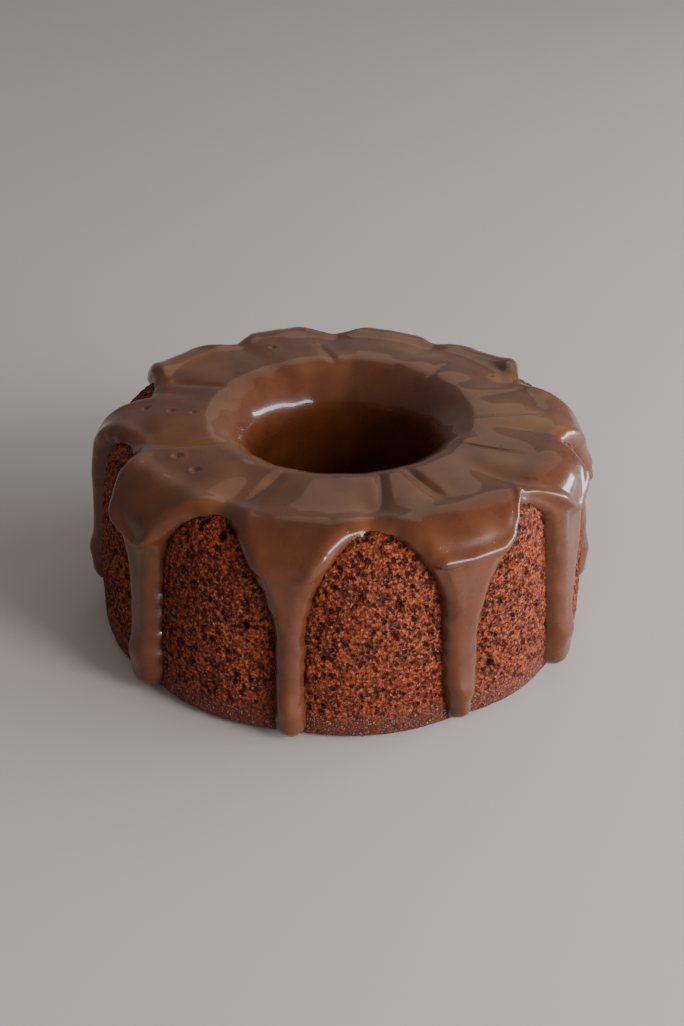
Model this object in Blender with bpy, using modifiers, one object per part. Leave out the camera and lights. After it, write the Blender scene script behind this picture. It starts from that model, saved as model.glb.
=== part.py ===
"""Ring-shaped chocolate sponge cake with icing poured over it, as two solids.

The sponge is a turned ring with ten shallow upright flutes. The icing is a thick
coat over the top and down the hole, with one run down every flute, and it leaves
an arched panel of bare sponge between each two runs. Both are worked out from one
section of the ring and one set of named sizes, in metres, with +Z up.
"""
import bpy
import math
import numpy as np

MM = 0.001

# Section of the sponge, measured along it from the crown of the ring
CROWN_RADIUS = 85.0 * MM
CAKE_HEIGHT = 103.0 * MM
CROWN_HALF = 17.0 * MM
SHOULDER_RADIUS = 16.0 * MM
WALL_LEAN = math.radians(5.2)
UPPER_WALL = 38.0 * MM
BELLY_CURVE = 30.0 * MM
BASE_EDGE_RADIUS = 6.5 * MM
LIP_RADIUS = 20.0 * MM
HOLE_TAPER = math.radians(2.5)
HOLE_EDGE_RADIUS = 3.0 * MM

# Flutes in the outer wall, one under every run of icing
FLUTES = 10
FLUTE_PITCH = 2.0 * math.pi / FLUTES
FLUTE_REACH = math.radians(17.0)
FLUTE_DEPTH = 4.5 * MM
FLUTE_ROUNDING = 0.12
FLUTE_START = -20.0 * MM
FLUTE_FULL = 36.0 * MM
FLUTE_AT_BASE = 0.45

# Sides where the ring has settled lower: angle and half width in degrees, depth, and
# the distances from the crown over which it comes and goes
SETTLED = (
    (142.0, 38.0, 2.6 * MM, -12.0 * MM, 14.0 * MM, 34.0 * MM, 70.0 * MM),
    (266.0, 24.0, 2.3 * MM, 2.0 * MM, 22.0 * MM, 34.0 * MM, 62.0 * MM),
    (92.0, 17.0, 3.1 * MM, 4.0 * MM, 26.0 * MM, 42.0 * MM, 56.0 * MM),
)

# Lobes where the icing hangs heavier, given in the same way
HEAVY = (
    (94.0, 14.0, 2.4 * MM, 46.0 * MM, 62.0 * MM, 66.0 * MM, 74.0 * MM),
    (121.0, 8.0, 3.0 * MM, 13.0 * MM, 28.0 * MM, 44.0 * MM, 60.0 * MM),
    (245.0, 8.0, 3.0 * MM, 13.0 * MM, 28.0 * MM, 44.0 * MM, 60.0 * MM),
    (298.0, 12.0, 3.2 * MM, 13.0 * MM, 28.0 * MM, 44.0 * MM, 72.0 * MM),
)

# Icing
GAP = 0.3 * MM
COAT = 3.4 * MM
HOLE_COAT = 2.6 * MM
LIP_ROLL = 0.8 * MM
ROLL_WIDTH = 6.0 * MM
EDGE_WIDTH = 7.0 * MM
SKIRT = 2.2 * MM
SKIRT_START = 32.0 * MM
SKIRT_END = 76.0 * MM
SWELL_LENGTH = 9.0 * MM
BULK_WIDTH = math.radians(12.0)
BULK_START = 26.0 * MM
BULK_FULL = 46.0 * MM
DROP = 1.4 * MM
DROP_START = 26.0 * MM
DROP_FULL = 10.0 * MM
VALLEY_DEPTH = 2.1 * MM
VALLEY_WIDTH = math.radians(5.0)
VALLEY_START = -20.0 * MM
VALLEY_FULL = 14.0 * MM
HOLE_COAT_END = 22.0 * MM
HOLE_COAT_WAVE = 7.0 * MM

# Every run: its angle in degrees from the front, turning towards +X, half width of
# its stem, height of its tip above the rest plane, how much it swells at the tip, and
# how much thicker it is than the coat
RUNS = (
    (-11.0, 6.9 * MM, 1.5 * MM, 0.05, 0.0),
    (26.3, 8.5 * MM, 1.5 * MM, -0.3, 0.0),
    (58.6, 9.2 * MM, 1.8 * MM, 0.05, 1.4 * MM),
    (96.0, 7.5 * MM, 2.0 * MM, 0.1, 3.0 * MM),
    (133.0, 7.0 * MM, 27.0 * MM, 0.0, 0.0),
    (166.0, 8.2 * MM, 2.5 * MM, 0.05, 0.0),
    (198.5, 7.2 * MM, 18.0 * MM, 0.1, 0.0),
    (232.0, 8.0 * MM, 20.0 * MM, 0.0, 0.0),
    (269.0, 8.5 * MM, 9.0 * MM, 0.0, 2.0 * MM),
    (311.6, 9.7 * MM, 2.2 * MM, 0.0, 1.2 * MM),
)

# Every bare panel, counted from the run on its left: where its arch peaks from 0 at
# the left run to 1 at the right one, how far out from the crown the peak lies, how far
# out the arch springs from the left and the right run, and how square the arch is
ARCHES = (
    (0.50, 21.9 * MM, 72.0 * MM, 66.0 * MM, 1.65),
    (0.70, 28.5 * MM, 84.0 * MM, 46.0 * MM, 1.6),
    (0.56, 24.0 * MM, 98.0 * MM, 66.0 * MM, 1.35),
    (0.50, 19.0 * MM, 66.0 * MM, 58.0 * MM, 1.8),
    (0.55, 26.0 * MM, 60.0 * MM, 66.0 * MM, 1.7),
    (0.50, 21.0 * MM, 58.0 * MM, 60.0 * MM, 1.9),
    (0.45, 22.0 * MM, 66.0 * MM, 58.0 * MM, 1.7),
    (0.62, 15.5 * MM, 62.0 * MM, 58.0 * MM, 1.8),
    (0.44, 18.5 * MM, 52.0 * MM, 78.0 * MM, 1.9),
    (0.49, 21.5 * MM, 58.0 * MM, 78.0 * MM, 1.6),
)

# Facets and colours
SPONGE_COLUMNS = 80
ICING_COLUMNS = 320
THINNING = 0.115
CROWDING = 0.6
SPONGE_COLOUR = (0.20, 0.05, 0.025)
ICING_COLOUR = (0.10, 0.030, 0.014)


def arc(radius, turn):
    """One arc of the section: its length, and how far it turns downwards."""
    return (radius * turn, turn)


def step(place, angle, length, turn, reach):
    """Places a distance along one line or arc that sets out at an angle below level."""
    if turn == 0.0:
        return place[0] + reach * math.cos(angle), place[1] - reach * math.sin(angle)
    bend = turn / length
    across = (np.sin(angle + bend * reach) - math.sin(angle)) / bend
    upward = (np.cos(angle + bend * reach) - math.cos(angle)) / bend
    return place[0] + across, place[1] + upward


def trace(path, reach):
    """Distance out, height and slope at each distance along a path that starts level."""
    found = np.zeros((3, len(reach)))
    start, place, angle = 0.0, (0.0, 0.0), 0.0
    for length, turn in path:
        here = reach >= start
        local = np.minimum(reach - start, length)[here]
        found[0, here], found[1, here] = step(place, angle, length, turn, local)
        found[2, here] = angle + turn / length * local
        place = step(place, angle, length, turn, length)
        start, angle = start + length, angle + turn
    return found


def down_to_base(path, edge_radius):
    """A side of the section, finished with a plain wall and an edge down to the base."""
    heading = sum(turn for _, turn in path)
    reached = sum(length for length, _ in path)
    height = CAKE_HEIGHT + trace(path, np.array([reached]))[1, 0]
    wall = (height - edge_radius * (1.0 + math.cos(heading))) / math.sin(heading)
    return path + [(wall, 0.0), arc(edge_radius, math.pi - heading)]


OUTER_SIDE = down_to_base([
    (CROWN_HALF, 0.0), arc(SHOULDER_RADIUS, math.pi / 2.0 - WALL_LEAN),
    (UPPER_WALL, 0.0), (BELLY_CURVE, WALL_LEAN)], BASE_EDGE_RADIUS)
HOLE_SIDE = down_to_base([
    (CROWN_HALF, 0.0), arc(LIP_RADIUS, math.pi / 2.0 - HOLE_TAPER)], HOLE_EDGE_RADIUS)
OUTER_LENGTH = sum(length for length, _ in OUTER_SIDE)
HOLE_LENGTH = sum(length for length, _ in HOLE_SIDE)


def section(reach):
    """Radius, height and outward normal of the plain ring at distances from its crown.

    Distances are positive over the shoulder and down the outer wall, and negative
    over the lip and down the hole.
    """
    inward = reach < 0.0
    sign = np.where(inward, -1.0, 1.0)
    far = np.abs(reach)
    out, height, slope = np.where(inward, trace(HOLE_SIDE, far), trace(OUTER_SIDE, far))
    return CROWN_RADIUS + sign * out, CAKE_HEIGHT + height, sign * np.sin(slope), np.cos(slope)


def ramp(value, low, high):
    """Smooth rise from 0 at one value to 1 at another."""
    share = np.clip((value - low) / (high - low), 0.0, 1.0)
    return share * share * (3.0 - 2.0 * share)


def bump(value, middle, width):
    """Smooth hump of height 1 about a middle value."""
    return np.exp(-((value - middle) / width) ** 2)


def run_angle(index):
    """Angle of a run, a whole turn further on for every round of the ring."""
    rounds, number = divmod(index, FLUTES)
    return math.radians(RUNS[number][0]) + 2.0 * math.pi * rounds


def peak_angle(index):
    """Angle of the top of the arch between a run and the next."""
    start, end = run_angle(index), run_angle(index + 1)
    return start + ARCHES[index][0] * (end - start)


def apart(angle, middle):
    """Angle between two directions, the shorter way round."""
    return np.abs((angle - middle + math.pi) % (2.0 * math.pi) - math.pi)


def nearest(angle, middles):
    """Angle to the nearest of several directions."""
    return np.min([apart(angle, middle) for middle in middles], axis=0)


def flute(angle):
    """Depth of the flutes at an angle, from 0 on a rib to 1 in the middle of a flute."""
    off = np.minimum(nearest(angle, [run_angle(index) for index in range(FLUTES)]), FLUTE_REACH)
    soft = np.hypot(off / FLUTE_REACH, FLUTE_ROUNDING)
    return np.clip((1.0 - soft) / (1.0 - FLUTE_ROUNDING), 0.0, None) ** 2


def valley(angle):
    """Depth of the valleys between the lobes of icing, each over the top of an arch."""
    off = nearest(angle, [peak_angle(index) for index in range(FLUTES)])
    return 1.0 / (1.0 + (off / VALLEY_WIDTH) ** 2)


def recess(angle, reach):
    """How far the flutes sink the sponge below the plain ring."""
    fading = 1.0 - (1.0 - FLUTE_AT_BASE) * ramp(reach, OUTER_LENGTH / 2.0, OUTER_LENGTH)
    return FLUTE_DEPTH * flute(angle) * fading * ramp(reach, FLUTE_START, FLUTE_FULL)


def humps(table, angle, reach):
    """Sum of the humps in a table."""
    total = np.zeros(len(angle))
    for middle, width, depth, start, full, ease, end in table:
        where = bump(apart(angle, math.radians(middle)), 0.0, math.radians(width))
        total += depth * where * (ramp(reach, start, full) - ramp(reach, ease, end))
    return total


def reach_at(height):
    """Distance from the crown at which the outer wall comes down to a height."""
    reach = np.linspace(CROWN_HALF, OUTER_LENGTH, 400)
    return np.interp(-height, -section(reach)[1], reach)


def tip(index):
    """Middle of the round tip of a run, as a distance from the crown."""
    _, half, height, _, _ = RUNS[index % FLUTES]
    return reach_at(height + half)


def stem(index, reach):
    """Half width of a run at distances from the crown."""
    _, half, _, swell, _ = RUNS[index % FLUTES]
    return half * (1.0 + swell * bump(reach, tip(index), SWELL_LENGTH))


def beyond_arch(across, reach, left, right, arch):
    """Distance outside an arched panel, negative inside, given its two straight sides."""
    share, top, left_spring, right_spring, square = arch
    peak = left + share * (right - left)
    half = np.where(across < peak, peak - left, right - peak)
    spring = np.where(across < peak, left_spring, right_spring)
    over = np.abs(across - peak) / half
    rise = np.maximum(spring - reach, 0.0) / (spring - top)
    norm = np.maximum((over ** square + rise ** square) ** (1.0 / square), 1e-6)
    scale = norm ** (1.0 - square)
    slope = np.hypot(scale * over ** (square - 1.0) / half,
                     scale * rise ** (square - 1.0) / (spring - top))
    return (norm - 1.0) / np.maximum(slope, 1.0)


def cover(angle, reach):
    """Distance inside the iced area, negative where the sponge is bare."""
    radius = section(reach)[0]
    found = np.zeros(len(angle))
    first = run_angle(0)
    turned = first + (angle - first) % (2.0 * math.pi)
    for index in range(FLUTES):
        start, end = run_angle(index), run_angle(index + 1)
        here = (turned >= start) & (turned < end)
        across, far = (turned[here] - start) * radius[here], reach[here]
        span = (end - start) * radius[here]
        left, right = stem(index, far), span - stem(index + 1, far)
        inside = beyond_arch(across, far, left, right, ARCHES[index])
        for run, aside, half in ((index, across, left), (index + 1, span - across, span - right)):
            past = far - tip(run)
            nearer = (aside <= span / 2.0) & (past > 0.0)
            inside = np.where(nearer, np.minimum(inside, half - np.hypot(aside, past)), inside)
        found[here] = inside
    end = HOLE_COAT_END + HOLE_COAT_WAVE * np.sin(3.0 * angle + 2.0 * np.sin(2.0 * angle))
    return np.minimum(found, reach + HOLE_LENGTH - end)


def straight_fall(reach):
    """Extra thickness that keeps the runs upright where the sponge's edge turns under."""
    wall_end = OUTER_LENGTH - OUTER_SIDE[-1][0]
    wall_radius = section(np.array([wall_end]))[0][0]
    return np.where(reach > wall_end, wall_radius - section(reach)[0], 0.0)


def bulk(angle, reach):
    """Thickness beyond the coat: of the heavy lobes and runs, and of the drops at the tips."""
    total = humps(HEAVY, angle, reach)
    for index in range(FLUTES):
        heavier = RUNS[index][4] * ramp(reach, BULK_START, BULK_FULL)
        drop = DROP * ramp(reach, tip(index) - DROP_START, tip(index) - DROP_FULL)
        total += (heavier + drop) * bump(apart(angle, run_angle(index)), 0.0, BULK_WIDTH)
    return total


def coat(angle, reach, inside):
    """How far the icing's face stands off the plain ring."""
    on_skirt = 1.0 - ramp(reach, SKIRT_START, SKIRT_END)
    over_shoulder = ramp(reach, CROWN_HALF / 2.0, 2.0 * CROWN_HALF)
    rolled = LIP_ROLL * bump(inside, ROLL_WIDTH, 0.7 * ROLL_WIDTH)
    low = valley(angle)
    skirt = SKIRT * (1.0 - low)
    channel = VALLEY_DEPTH * low * ramp(reach, VALLEY_START, VALLEY_FULL)
    outer = COAT - channel + on_skirt * (over_shoulder * skirt + rolled)
    outer = outer + bulk(angle, reach) + straight_fall(reach)
    down_hole = ramp(-reach, CROWN_HALF, 2.0 * CROWN_HALF)
    return outer + down_hole * (HOLE_COAT - outer)


def icing_relief(angle, reach):
    """Offset of the icing's face from the plain ring, sunk below bare sponge."""
    inside = cover(angle, reach)
    sunk = recess(angle, reach)
    edge = np.minimum(np.abs(inside) / EDGE_WIDTH, 1.0)
    rise = np.sign(inside) * np.sqrt(1.0 - (1.0 - edge) ** 2)
    return rise * (coat(angle, reach, inside) + sunk) - sunk - humps(SETTLED, angle, reach)


def sponge_relief(angle, reach):
    """Offset of the sponge from the plain ring."""
    return -recess(angle, reach) - humps(SETTLED, angle, reach)


def cutter_relief(angle, reach):
    """Offset of the form that hollows the icing, one gap larger than the sponge."""
    return GAP + sponge_relief(angle, reach)


def crowd(turn):
    """Angles for evenly spaced columns, drawn towards the runs, where detail is fine."""
    count = np.floor(turn / FLUTE_PITCH)
    phase = turn / FLUTE_PITCH - count
    share = phase - CROWDING * np.sin(2.0 * math.pi * phase) / (2.0 * math.pi)
    angles = np.array([run_angle(index) for index in range(FLUTES + 1)])
    start = count.astype(int) % FLUTES
    return angles[start] + share * (angles[start + 1] - angles[start])


def spaced(stops):
    """Distances from the crown that divide each stretch between stops evenly."""
    parts = [np.linspace(start, end, count, endpoint=False)
             for (start, _), (end, count) in zip(stops, stops[1:])]
    return np.concatenate(parts + [np.array([stops[-1][0]])])


def rows(hole, lip, crown, shoulder, wall, edge):
    """Distances from the crown for the rings of a mesh, from counts for each stretch."""
    wall_end = OUTER_LENGTH - OUTER_SIDE[-1][0]
    shoulder_end = CROWN_HALF + OUTER_SIDE[1][0]
    lip_end = CROWN_HALF + HOLE_SIDE[1][0]
    hole_end = HOLE_LENGTH - HOLE_SIDE[-1][0]
    return spaced([(-HOLE_LENGTH, 0), (-hole_end, 2), (-lip_end, hole), (-CROWN_HALF, lip),
                   (CROWN_HALF, crown), (shoulder_end, shoulder), (wall_end, wall),
                   (OUTER_LENGTH, edge)])


def turned(name, reach, columns, collection):
    """The plain ring turned about Z from its section by a Screw modifier."""
    radius, height, _, _ = section(reach)
    count = len(reach)
    mesh = bpy.data.meshes.new(name)
    mesh.from_pydata([(radius[i], 0.0, height[i]) for i in range(count)],
                     [(i, (i + 1) % count) for i in range(count)], [])
    ring = bpy.data.objects.new(name, mesh)
    collection.objects.link(ring)
    screw = ring.modifiers.new("turn", 'SCREW')
    screw.steps = columns
    screw.render_steps = columns
    screw.use_merge_vertices = True
    screw.merge_threshold = 0.01 * MM
    return ring


def flatten(ring):
    """Put an object's modifiers into its mesh."""
    graph = bpy.context.evaluated_depsgraph_get()
    mesh = bpy.data.meshes.new_from_object(ring.evaluated_get(graph))
    ring.modifiers.clear()
    ring.data = mesh


def shape(ring, reach, relief):
    """Move a turned ring's points off its plain section by a relief."""
    flatten(ring)
    points = np.empty(3 * len(ring.data.vertices))
    ring.data.vertices.foreach_get("co", points)
    x, y, _ = points.reshape(-1, 3).T
    angle = crowd(np.round(np.arctan2(y, x), 6) % (2.0 * math.pi))
    far = reach[np.arange(len(x)) % len(reach)]
    radius, height, out, up = section(far)
    under = up < 0.0
    out, up = np.where(under, np.sign(far), out), np.where(under, 0.0, up)
    off = relief(angle, far)
    radius, height = radius + out * off, height + up * off
    moved = np.stack([radius * np.sin(angle), -radius * np.cos(angle), height], axis=1)
    ring.data.vertices.foreach_set("co", moved.ravel())
    ring.data.update()


def facet(ring):
    """Split all quads the same way, so that a ring nested in another stays clear of it."""
    split = ring.modifiers.new("facets", 'TRIANGULATE')
    split.quad_method = 'FIXED'
    flatten(ring)


def paint(ring, name, colour, roughness):
    """Give an object its own Principled material."""
    material = bpy.data.materials.new(name)
    material.use_nodes = True
    shader = material.node_tree.nodes["Principled BSDF"]
    shader.inputs["Base Color"].default_value = (*colour, 1.0)
    shader.inputs["Roughness"].default_value = roughness
    ring.data.materials.clear()
    ring.data.materials.append(material)


def collection(name):
    """A new collection in the scene."""
    made = bpy.data.collections.new(name)
    bpy.context.scene.collection.children.link(made)
    return made


def build():
    """Build the sponge and the icing."""
    for old in list(bpy.data.objects):
        bpy.data.objects.remove(old)
    parts, cutters = collection("Bundt cake"), collection("Cutters")

    sponge_rows = rows(hole=2, lip=5, crown=2, shoulder=6, wall=6, edge=3)
    sponge = turned("cake", sponge_rows, SPONGE_COLUMNS, parts)
    shape(sponge, sponge_rows, sponge_relief)
    facet(sponge)
    paint(sponge, "sponge", SPONGE_COLOUR, 0.9)

    cutter = turned("icing_hollow", sponge_rows, SPONGE_COLUMNS, cutters)
    shape(cutter, sponge_rows, cutter_relief)
    facet(cutter)
    for vertex in cutter.data.vertices:
        if vertex.co.z < 0.01 * MM:
            vertex.co.z = -MM
    cutter.hide_render = True
    cutter.display_type = 'WIRE'

    icing_rows = rows(hole=6, lip=8, crown=8, shoulder=20, wall=44, edge=3)
    icing = turned("icing", icing_rows, ICING_COLUMNS, parts)
    shape(icing, icing_rows, icing_relief)
    thin = icing.modifiers.new("thin", 'DECIMATE')
    thin.ratio = THINNING
    thin.use_collapse_triangulate = True
    flatten(icing)
    hollow = icing.modifiers.new("hollow", 'BOOLEAN')
    hollow.operation = 'DIFFERENCE'
    hollow.object = cutter
    hollow.solver = 'EXACT'
    flatten(icing)
    paint(icing, "icing", ICING_COLOUR, 0.25)


build()
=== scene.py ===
"""Iced ring cake: the looks of a chocolate sponge ring with poured icing.

The sponge and the icing are worked out again from the named sizes that their solids
have, finely enough to show the open crumb, the folds of the icing and its bubbles.
"""
import math

import bmesh
import bpy
import numpy as np
from bpy.props import FloatProperty, FloatVectorProperty, IntProperty, PointerProperty
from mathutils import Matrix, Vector


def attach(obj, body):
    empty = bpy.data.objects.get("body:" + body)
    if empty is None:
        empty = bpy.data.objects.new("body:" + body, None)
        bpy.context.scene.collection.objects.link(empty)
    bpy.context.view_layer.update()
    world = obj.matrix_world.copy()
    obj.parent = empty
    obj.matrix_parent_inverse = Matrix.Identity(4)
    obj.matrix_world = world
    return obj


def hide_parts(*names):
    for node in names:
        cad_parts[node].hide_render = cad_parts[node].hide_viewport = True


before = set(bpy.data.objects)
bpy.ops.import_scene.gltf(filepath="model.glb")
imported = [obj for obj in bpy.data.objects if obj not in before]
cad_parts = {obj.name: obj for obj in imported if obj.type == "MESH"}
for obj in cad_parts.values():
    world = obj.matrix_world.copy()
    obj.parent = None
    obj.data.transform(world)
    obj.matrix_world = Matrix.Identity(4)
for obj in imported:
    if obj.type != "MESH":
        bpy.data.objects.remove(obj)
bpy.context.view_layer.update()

bl_info = {
    "name": "Iced Ring Cake",
    "version": (1, 0, 0),
    "blender": (4, 5, 0),
    "location": "3D View > Sidebar > Ring Cake",
    "description": "Makes a chocolate sponge ring with thick icing poured over it",
    "category": "Object",
}

MM = 0.001

# Section of the sponge, measured along it from the crown of the ring
CROWN_RADIUS = 85.0 * MM
CAKE_HEIGHT = 103.0 * MM
CROWN_HALF = 17.0 * MM
SHOULDER_RADIUS = 16.0 * MM
WALL_LEAN = math.radians(5.2)
UPPER_WALL = 38.0 * MM
BELLY_CURVE = 30.0 * MM
BASE_EDGE_RADIUS = 6.5 * MM
LIP_RADIUS = 20.0 * MM
HOLE_TAPER = math.radians(2.5)
HOLE_EDGE_RADIUS = 3.0 * MM

# Flutes in the outer wall, one under every run of icing
FLUTES = 10
FLUTE_REACH = math.radians(17.0)
FLUTE_DEPTH = 4.5 * MM
FLUTE_ROUNDING = 0.12
FLUTE_START = -20.0 * MM
FLUTE_FULL = 36.0 * MM
FLUTE_AT_BASE = 0.45

# Sides where the ring has settled lower: angle and half width in degrees, depth, and
# the distances from the crown over which it comes and goes
SETTLED = (
    (142.0, 38.0, 2.6 * MM, -12.0 * MM, 14.0 * MM, 34.0 * MM, 70.0 * MM),
    (266.0, 24.0, 2.3 * MM, 2.0 * MM, 22.0 * MM, 34.0 * MM, 62.0 * MM),
    (92.0, 17.0, 3.1 * MM, 4.0 * MM, 26.0 * MM, 42.0 * MM, 56.0 * MM),
)

# Lobes where the icing hangs heavier, given in the same way
HEAVY = (
    (94.0, 14.0, 2.4 * MM, 46.0 * MM, 62.0 * MM, 66.0 * MM, 74.0 * MM),
    (121.0, 8.0, 3.0 * MM, 13.0 * MM, 28.0 * MM, 44.0 * MM, 60.0 * MM),
    (245.0, 8.0, 3.0 * MM, 13.0 * MM, 28.0 * MM, 44.0 * MM, 60.0 * MM),
    (298.0, 12.0, 3.2 * MM, 13.0 * MM, 28.0 * MM, 44.0 * MM, 72.0 * MM),
)

# Icing
ROLL_WIDTH = 6.0 * MM
EDGE_WIDTH = 7.0 * MM
SKIRT_START = 32.0 * MM
SKIRT_END = 76.0 * MM
SWELL_LENGTH = 9.0 * MM
BULK_WIDTH = math.radians(12.0)
BULK_START = 26.0 * MM
BULK_FULL = 46.0 * MM
DROP = 1.4 * MM
DROP_START = 26.0 * MM
DROP_FULL = 10.0 * MM
BEAD_RADIUS = 1.45 * CROWN_RADIUS
BEAD_ABOVE = 11.0 * MM
BEAD_HEIGHT = 1.3 * MM
BEAD_LENGTH = 5.5 * MM
VALLEY_WIDTH = math.radians(5.0)
VALLEY_START = -20.0 * MM
VALLEY_FULL = 14.0 * MM
HOLE_COAT_END = 22.0 * MM
HOLE_COAT_WAVE = 7.0 * MM

# Slow waves of the face and the wander of its edges: seed of the draw, most waves round
# the ring, and their length down the section
UNEVEN_WAVES = (5, 24, 40.0 * MM)
RAGGED_WAVES = (3, 90, 9.0 * MM)
EDGE_CLEAR = (0.5 * MM, 4.0 * MM)

# Every run: its angle in degrees from the front, turning towards +X, half width of
# its stem, height of its tip above the rest plane, how much it swells at the tip, and
# how much thicker it is than the coat
RUNS = (
    (-11.0, 6.9 * MM, 1.5 * MM, 0.05, 0.0),
    (26.3, 8.5 * MM, 1.5 * MM, -0.3, 0.0),
    (58.6, 9.2 * MM, 1.8 * MM, 0.05, 1.4 * MM),
    (96.0, 7.5 * MM, 2.0 * MM, 0.1, 3.0 * MM),
    (133.0, 7.0 * MM, 27.0 * MM, 0.0, 0.0),
    (166.0, 8.2 * MM, 2.5 * MM, 0.05, 0.0),
    (198.5, 7.2 * MM, 18.0 * MM, 0.1, 0.0),
    (232.0, 8.0 * MM, 20.0 * MM, 0.0, 0.0),
    (269.0, 8.5 * MM, 9.0 * MM, 0.0, 2.0 * MM),
    (311.6, 9.7 * MM, 2.2 * MM, 0.0, 1.2 * MM),
)

# Every bare panel, counted from the run on its left: where its arch peaks from 0 at
# the left run to 1 at the right one, how far out from the crown the peak lies, how far
# out the arch springs from the left and the right run, and how square the arch is
ARCHES = (
    (0.50, 21.9 * MM, 72.0 * MM, 66.0 * MM, 1.65),
    (0.70, 28.5 * MM, 84.0 * MM, 46.0 * MM, 1.6),
    (0.56, 24.0 * MM, 98.0 * MM, 66.0 * MM, 1.35),
    (0.50, 19.0 * MM, 66.0 * MM, 58.0 * MM, 1.8),
    (0.55, 26.0 * MM, 60.0 * MM, 66.0 * MM, 1.7),
    (0.50, 21.0 * MM, 58.0 * MM, 60.0 * MM, 1.9),
    (0.45, 22.0 * MM, 66.0 * MM, 58.0 * MM, 1.7),
    (0.62, 15.5 * MM, 62.0 * MM, 58.0 * MM, 1.8),
    (0.44, 18.5 * MM, 52.0 * MM, 78.0 * MM, 1.9),
    (0.49, 21.5 * MM, 58.0 * MM, 78.0 * MM, 1.6),
)

# Bubbles that burst in the icing: angle in degrees, then distance from the crown and
# radius in millimetres
BUBBLES = (
    (-93.9, 11.7, 2.9),
    (-90.8, -1.6, 2.6),
    (-89.4, -12.6, 2.0),
    (-59.1, 3.4, 3.2),
    (-48.3, 3.7, 3.0),
    (64.0, -2.0, 1.4),
    (121.0, 6.0, 1.8),
    (205.0, 2.0, 2.6),
)
RIM_HEIGHT = 0.08
RIM_WIDTH = 0.42
DIMPLE_DEPTH = 0.26
DIMPLE_WIDTH = 0.70

# Folds where a skirt of icing laps over its run: the height of each in millimetres, and
# the places it runs through, in degrees and in millimetres from the crown
FOLDS = (
    (2.4, ((16.0, 38.0), (20.0, 40.5), (27.0, 41.5), (36.0, 41.0), (40.0, 37.0),
           (43.0, 31.0), (47.0, 24.0))),
    (2.0, ((46.0, 24.5), (51.0, 29.0), (57.0, 38.0), (62.0, 46.0), (67.0, 42.0),
           (74.0, 36.0))),
    (1.2, ((84.0, 62.0), (93.0, 68.0), (102.0, 67.0), (110.0, 58.0))),
    (2.0, ((-66.0, 32.0), (-58.0, 39.5), (-53.0, 43.5), (-47.5, 49.0), (-43.0, 44.0),
           (-38.0, 36.0), (-33.0, 29.0))),
    (0.6, ((-25.0, 30.0), (-18.0, 42.0), (-10.0, 47.0), (-3.0, 40.0), (4.0, 27.0))),
    (1.6, ((155.0, 36.0), (166.0, 44.0), (177.0, 35.0))),
    (1.6, ((222.0, 38.0), (232.0, 46.0), (240.0, 36.0))),
)
FOLD_LIP = (-1.6 * MM, 2.6 * MM)
FOLD_UNDERCUT = 0.7
FOLD_STEP = (-1.0 * MM, 2.2 * MM)
FOLD_FADE = (5.0 * MM, 26.0 * MM)
FOLD_SETS_IN = (-2.0, 4.0)
FOLD_DIES_OUT = (-3.0, 2.0)

# Creases drawn towards the hole: where each starts and ends, in degrees and millimetres
# from the crown, then its half width and depth in millimetres
CREASES = (
    (59.0, -24.0, 64.5, 16.0, 0.7, 0.60),
    (85.0, -24.0, 92.0, 17.0, 0.9, 0.40),
    (16.5, -27.0, 10.0, 14.0, 2.4, 1.10),
    (26.5, -26.0, 28.5, 16.0, 3.0, 1.20),
    (133.5, -26.0, 137.0, 0.0, 1.6, 0.90),
    (104.0, -16.0, 110.0, 20.0, 3.2, 0.90),
    (183.0, -27.0, 190.0, 6.0, 2.6, 0.80),
    (-60.0, -30.0, -72.0, 18.0, 3.4, 1.20),
    (-23.0, -22.0, -26.0, 22.0, 3.4, 0.90),
    (243.0, -24.0, 249.0, 16.0, 3.0, 0.80),
)

# Heights over which the moist base, the open crumb and the painted warm reflection
# on the icing's top set in
BASE_HEIGHTS = (9.0 * MM, 19.0 * MM)
CRUMB_HEIGHTS = (0.3 * MM, 3.0 * MM)
WARM_SHEEN_HEIGHTS = (78.0 * MM, 100.0 * MM)

# How far in from the icing's edge the crumb closes, how far out from it the painted
# shade under the edge fades and the loose grains set in, and how far out from the crown
# either starts
CLOSED_UNDER = (0.8 * MM, 3.0 * MM)
SHADED_BESIDE = (0.0, 2.6 * MM)
LOOSE_BESIDE = (0.0, 1.0 * MM)
OUTSIDE_FROM = (0.0, 10.0 * MM)
OPEN_LOST_AT_BASE = 0.72

# Lights, each with its place, width and height in metres, and the point they face
WINDOW_LIGHT = ((1.50, -0.25, 0.38), (2.6, 0.36))
LAMP_LIGHT = ((1.30, -1.05, 0.95), (0.6, 0.6))
SKY_LIGHT = ((1.0, 2.7, 2.37), (2.6, 2.0))
GLINT_LIGHT = ((0.62, -1.00, 0.07), (0.08, 0.14))
LIT_POINT = (0.0, 0.0, 0.06)
FLOOR_HALF = 6.0


def arc(radius, turn):
    """One arc of the section: its length, and how far it turns downwards."""
    return (radius * turn, turn)


def step(place, angle, length, turn, reach):
    """Places a distance along one line or arc that sets out at an angle below level."""
    if turn == 0.0:
        return place[0] + reach * math.cos(angle), place[1] - reach * math.sin(angle)
    bend = turn / length
    across = (np.sin(angle + bend * reach) - math.sin(angle)) / bend
    upward = (np.cos(angle + bend * reach) - math.cos(angle)) / bend
    return place[0] + across, place[1] + upward


def trace(path, reach):
    """Distance out, height and slope at each distance along a path that starts level."""
    found = np.zeros((3, len(reach)))
    start, place, angle = 0.0, (0.0, 0.0), 0.0
    for length, turn in path:
        here = reach >= start
        local = np.minimum(reach - start, length)[here]
        found[0, here], found[1, here] = step(place, angle, length, turn, local)
        found[2, here] = angle + turn / length * local
        place = step(place, angle, length, turn, length)
        start, angle = start + length, angle + turn
    return found


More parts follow.
